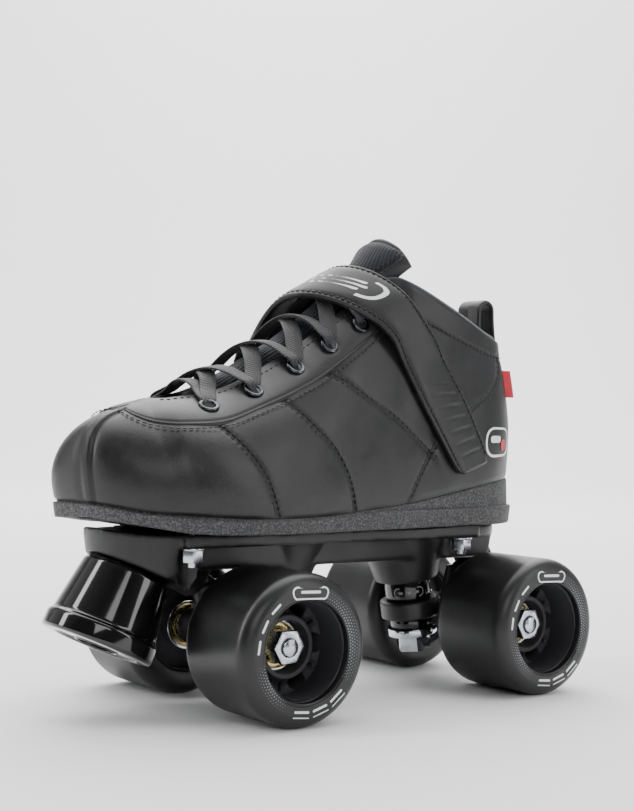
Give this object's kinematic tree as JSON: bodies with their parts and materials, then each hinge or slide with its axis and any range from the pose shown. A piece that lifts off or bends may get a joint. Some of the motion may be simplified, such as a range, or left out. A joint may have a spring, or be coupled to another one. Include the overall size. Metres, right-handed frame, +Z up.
{
  "type": "quad roller skate",
  "caption": "Lace-up quad roller skate for a left foot: leather boot with instep strap on a nylon plate, sprung trucks, urethane wheels and a bolt-on toe stop.",
  "frame": {"origin": "bottom centre of the whole skate on the floor, midway between its foremost and rearmost points", "axes": "+X towards the toe, +Y towards the outer side of the left foot, +Z up"},
  "size_m": [0.2486, 0.132, 0.2105],
  "materials": {
    "sole_rubber": "textured",
    "fibre_board": "matte",
    "insole_foam": "matte",
    "boot_leather": "satin grain",
    "collar_lining": "soft",
    "tongue_mesh": "ribbed",
    "lace": "woven",
    "eyelet_metal": "satin, bright rim",
    "webbing": "glossy woven",
    "nylon": "satin moulded",
    "zinc_steel": "zinc plated",
    "stop_rubber": "gloss",
    "chrome_steel": "polished",
    "brass": "turned",
    "cushion_urethane": "gloss",
    "truck_metal": "satin black",
    "tyre_urethane": "satin",
    "hub_nylon": "satin moulded",
    "bearing_gold": "polished",
    "bearing_steel": "polished"
  },
  "bodies": {
    "boot_and_plate": {"outsole": "sole_rubber", "lasting_board": "fibre_board", "insole": "insole_foam", "upper_outer": "boot_leather", "upper_inner": "boot_leather", "eyestays": "boot_leather", "heel_counter": "fibre_board", "collar_lining": "collar_lining", "tongue": "tongue_mesh", "laces": "lace", "eyelets": "eyelet_metal", "strap": "boot_leather", "pull_loop": "webbing", "plate": "nylon", "mount_bolts": "zinc_steel", "mount_washers": "zinc_steel", "mount_nuts": "zinc_steel", "toe_stop": "stop_rubber", "toe_stop_bolt": "zinc_steel", "toe_stop_washer": "zinc_steel", "toe_stop_nut": "zinc_steel", "kingpins": "chrome_steel", "kingpin_inserts": "brass", "cup_washers": "chrome_steel", "pivot_cups": "cushion_urethane", "front_upper_cushion": "cushion_urethane", "rear_upper_cushion": "cushion_urethane", "front_lower_cushion": "cushion_urethane", "rear_lower_cushion": "cushion_urethane"},
    "front_truck": {"front_hanger": "truck_metal", "front_axle": "zinc_steel", "front_axle_nuts": "zinc_steel", "front_inner_races": "bearing_steel", "front_spacers": "bearing_steel"},
    "rear_truck": {"rear_hanger": "truck_metal", "rear_axle": "zinc_steel", "rear_axle_nuts": "zinc_steel", "rear_inner_races": "bearing_steel", "rear_spacers": "bearing_steel"},
    "wheel_fl": {"tyre_fl": "tyre_urethane", "hub_fl": "hub_nylon", "outer_races_fl": "bearing_gold", "shields_fl": "bearing_gold", "balls_fl": "bearing_steel"},
    "wheel_fr": {"tyre_fr": "tyre_urethane", "hub_fr": "hub_nylon", "outer_races_fr": "bearing_gold", "shields_fr": "bearing_gold", "balls_fr": "bearing_steel"},
    "wheel_rl": {"tyre_rl": "tyre_urethane", "hub_rl": "hub_nylon", "outer_races_rl": "bearing_gold", "shields_rl": "bearing_gold", "balls_rl": "bearing_steel"},
    "wheel_rr": {"tyre_rr": "tyre_urethane", "hub_rr": "hub_nylon", "outer_races_rr": "bearing_gold", "shields_rr": "bearing_gold", "balls_rr": "bearing_steel"},
    "strap_tail": {"strap_tail": "boot_leather"}
  },
  "joints": [
    {"name": "front_truck_tilt", "type": "hinge", "parent": "boot_and_plate", "child": "front_truck", "pos_m": [0.05776, 0, 0.056], "axis": [0.8825, 0, 0.4704], "range_deg": [-8, 8], "stiffness_Nm_per_rad": 14, "deforming": ["front_upper_cushion", "front_lower_cushion"]},
    {"name": "rear_truck_tilt", "type": "hinge", "parent": "boot_and_plate", "child": "rear_truck", "pos_m": [-0.10624, 0, 0.056], "axis": [-0.8825, 0, 0.4704], "range_deg": [-8, 8], "stiffness_Nm_per_rad": 14, "deforming": ["rear_upper_cushion", "rear_lower_cushion"]},
    {"name": "wheel_fl_spin", "type": "hinge", "parent": "front_truck", "child": "wheel_fl", "pos_m": [0.04476, 0.0435, 0.031], "axis": [0, 1, 0], "continuous": true},
    {"name": "wheel_fr_spin", "type": "hinge", "parent": "front_truck", "child": "wheel_fr", "pos_m": [0.04476, -0.0435, 0.031], "axis": [0, 1, 0], "continuous": true},
    {"name": "wheel_rl_spin", "type": "hinge", "parent": "rear_truck", "child": "wheel_rl", "pos_m": [-0.09324, 0.0435, 0.031], "axis": [0, 1, 0], "continuous": true},
    {"name": "wheel_rr_spin", "type": "hinge", "parent": "rear_truck", "child": "wheel_rr", "pos_m": [-0.09324, -0.0435, 0.031], "axis": [0, 1, 0], "continuous": true},
    {"name": "strap_tail_peel", "type": "hinge", "parent": "boot_and_plate", "child": "strap_tail", "pos_m": [-0.04586, 0.03159, 0.15058], "axis": [0.9999, -0.0099, 0.0116], "range_deg": [0, 90]}
  ]
}
